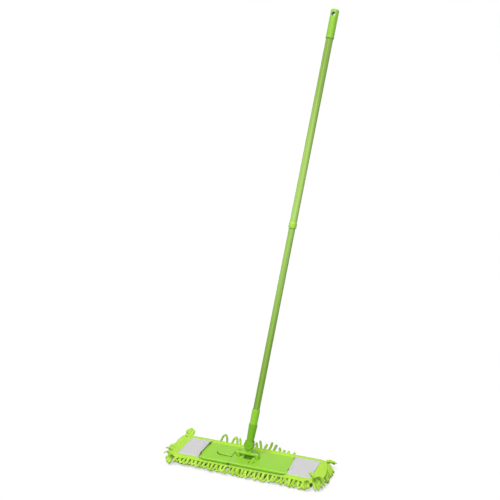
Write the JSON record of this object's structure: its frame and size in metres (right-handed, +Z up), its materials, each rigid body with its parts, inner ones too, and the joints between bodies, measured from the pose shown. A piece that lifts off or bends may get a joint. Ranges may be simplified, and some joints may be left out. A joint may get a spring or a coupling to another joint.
{
  "type": "microfiber mop",
  "caption": "Flat floor mop: telescopic handle with a hanging hole, two-axis joint, folding frame released by a foot pedal, and a pocket pad with chenille fingers.",
  "frame": {"origin": "middle of the pad's sole, on the floor", "axes": "+Z up, +X along the pad to the right, -Y to the front; the handle leans back and to the right"},
  "size_m": [0.4673, 0.4711, 1.3099],
  "materials": {
    "cap_plastic": "moulded apple green, fine satin",
    "tube_lacquer": "glossy apple green lacquer on a thin drawn tube",
    "collar_plastic": "moulded apple green, glossy",
    "ferrule_plastic": "moulded apple green, glossy",
    "joint_plastic": "moulded deep apple green, satin",
    "frame_plastic": "moulded apple green, satin",
    "lock_plastic": "moulded dark grey",
    "pin_steel": "plain wire, drawn",
    "backing_cloth": "green base cloth",
    "binding_tape": "yellow-green knitted edge tape",
    "pocket_cloth": "white plain weave",
    "chenille": "yellow-green microfibre chenille"
  },
  "bodies": {
    "frame_right": {"right_wing": "frame_plastic", "saddle_left": "frame_plastic", "saddle_right": "frame_plastic", "hinge_pin_front": "pin_steel", "hinge_pin_back": "pin_steel", "pad_backing_right": "backing_cloth", "edge_binding_right": "binding_tape", "pocket_right": "pocket_cloth", "chenille_right": "chenille"},
    "frame_left": {"left_wing": "frame_plastic", "pedal_pin": "pin_steel", "pedal_spring": "pin_steel", "pad_backing_left": "backing_cloth", "edge_binding_left": "binding_tape", "pocket_left": "pocket_cloth", "chenille_left": "chenille"},
    "pedal": {"release_pedal": "frame_plastic"},
    "cross_bar": {"t_joint": "frame_plastic"},
    "lower_handle": {"handle_socket": "joint_plastic", "joint_pin": "joint_plastic", "tube_ferrule": "ferrule_plastic", "lower_tube": "tube_lacquer", "lock_spindle": "lock_plastic"},
    "lock_sleeve": {"expander_sleeve": "lock_plastic"},
    "upper_handle": {"upper_tube": "tube_lacquer", "telescope_collar": "collar_plastic", "hang_cap": "cap_plastic"}
  },
  "joints": [
    {"name": "wing_fold", "type": "hinge", "parent": "frame_right", "child": "frame_left", "pos_m": [-0.0441, 0, 0.0215], "axis": [0, -1, 0], "range_deg": [0, 90], "deforming": ["pad_backing_left", "pad_backing_right", "edge_binding_left", "edge_binding_right", "chenille_left", "chenille_right"]},
    {"name": "pedal_press", "type": "hinge", "parent": "frame_left", "child": "pedal", "pos_m": [-0.062, 0, 0.02495], "axis": [0, -1, 0], "range_deg": [0, 6], "stiffness_Nm_per_rad": 2.5, "springref_deg": -2.29, "deforming": ["pedal_spring"]},
    {"name": "handle_tilt", "type": "hinge", "parent": "frame_right", "child": "cross_bar", "pos_m": [0, 0, 0.041], "axis": [1, 0, 0], "range_deg": [-58, 92]},
    {"name": "handle_swing", "type": "hinge", "parent": "cross_bar", "child": "lower_handle", "pos_m": [0, 0.00778, 0.06644], "axis": [0, 0.9563, -0.2924], "range_deg": [-95.3, 84.7]},
    {"name": "twist_lock", "type": "hinge", "parent": "lower_handle", "child": "lock_sleeve", "pos_m": [0.06586, 0.21535, 0.74537], "axis": [0.0924, 0.2911, 0.9522], "range_deg": [0, 120]},
    {"name": "telescope", "type": "slide", "parent": "lock_sleeve", "child": "upper_handle", "axis": [0.0924, 0.2911, 0.9522], "range_m": [-0.49, 0]}
  ]
}
